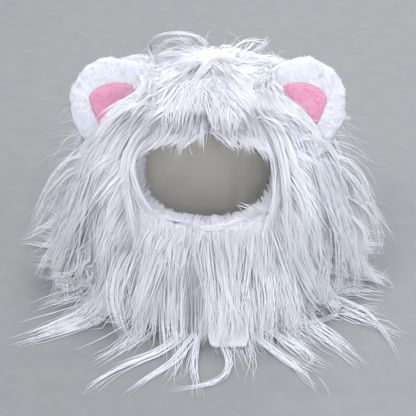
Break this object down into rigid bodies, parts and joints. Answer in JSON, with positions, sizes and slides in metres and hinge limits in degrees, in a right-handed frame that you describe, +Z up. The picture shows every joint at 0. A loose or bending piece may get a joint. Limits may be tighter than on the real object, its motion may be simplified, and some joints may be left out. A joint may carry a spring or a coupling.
{
  "type": "pet lion mane wig",
  "caption": "Long-haired white pet mane wig: a soft fur hood with a face opening, round plush ears with pink inner patches, and a closure tab under the chin.",
  "frame": {"origin": "centre of the bounding box's lower face, on the surface that the wig stands on", "axes": "+Z up to the crown, -Y out of the face opening, +X to the right as seen from the front"},
  "size_m": [0.271, 0.3396, 0.1539],
  "materials": {
    "fur": "long soft pile",
    "backing": "smooth knit",
    "plush": "short plush",
    "pink_plush": "short plush",
    "tab": "matte loop tape"
  },
  "bodies": {
    "root": {"hood_lining": "backing", "mane_crown": "fur", "mane_back": "fur", "mane_left": "fur", "mane_right": "fur", "ruff_left": "fur", "ruff_right": "fur", "ear_left": "plush", "ear_right": "plush", "ear_patch_left": "pink_plush", "ear_patch_right": "pink_plush", "closure_tab": "tab"}
  },
  "joints": []
}
